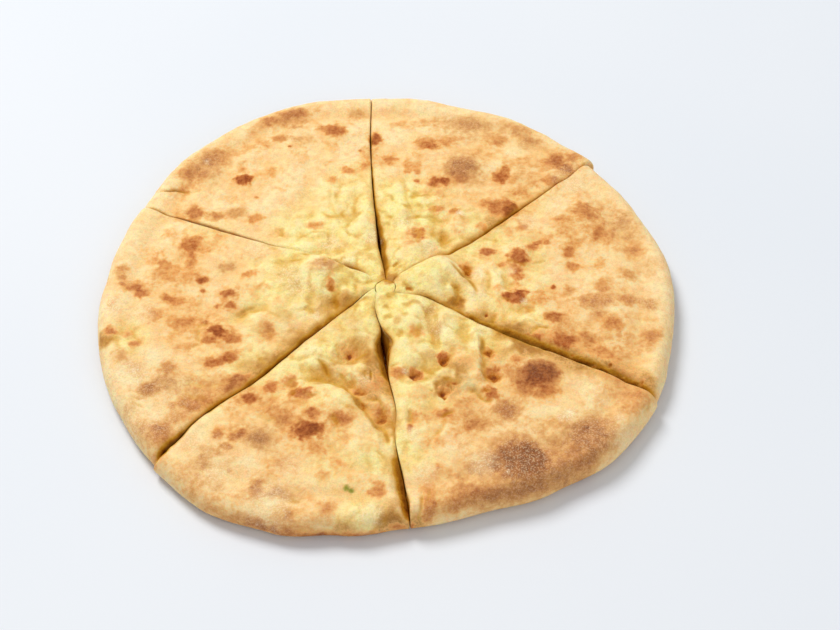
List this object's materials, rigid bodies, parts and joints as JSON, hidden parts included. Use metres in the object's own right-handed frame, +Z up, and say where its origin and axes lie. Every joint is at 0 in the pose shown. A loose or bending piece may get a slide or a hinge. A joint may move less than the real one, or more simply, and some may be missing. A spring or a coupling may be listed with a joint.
{
  "type": "megrelian khachapuri",
  "caption": "Round golden-brown cheese-filled flatbread with a rolled rim, cut into wedge slices that still lie together.",
  "frame": {"origin": "on the surface the bread lies on, under the middle of its outline", "axes": "+Z up through the thickness; the picture looks along +Y from above, with +X to its right"},
  "size_m": [0.28, 0.276, 0.0197],
  "materials": {
    "dough": "baked flatbread crust, peach-tan with brown blisters and a dusting of flour; matte_plastic stands in for dough",
    "cheese": "soft melted cheese, pale yellow; matte_plastic stands in for cheese"
  },
  "bodies": {
    "root": {"slice_1_dough": "dough", "slice_1_cheese": "cheese", "slice_2_dough": "dough", "slice_2_cheese": "cheese", "slice_3_dough": "dough", "slice_3_cheese": "cheese", "slice_4_dough": "dough", "slice_4_cheese": "cheese", "slice_5_dough": "dough", "slice_5_cheese": "cheese", "slice_6_dough": "dough", "slice_6_cheese": "cheese"}
  },
  "joints": []
}
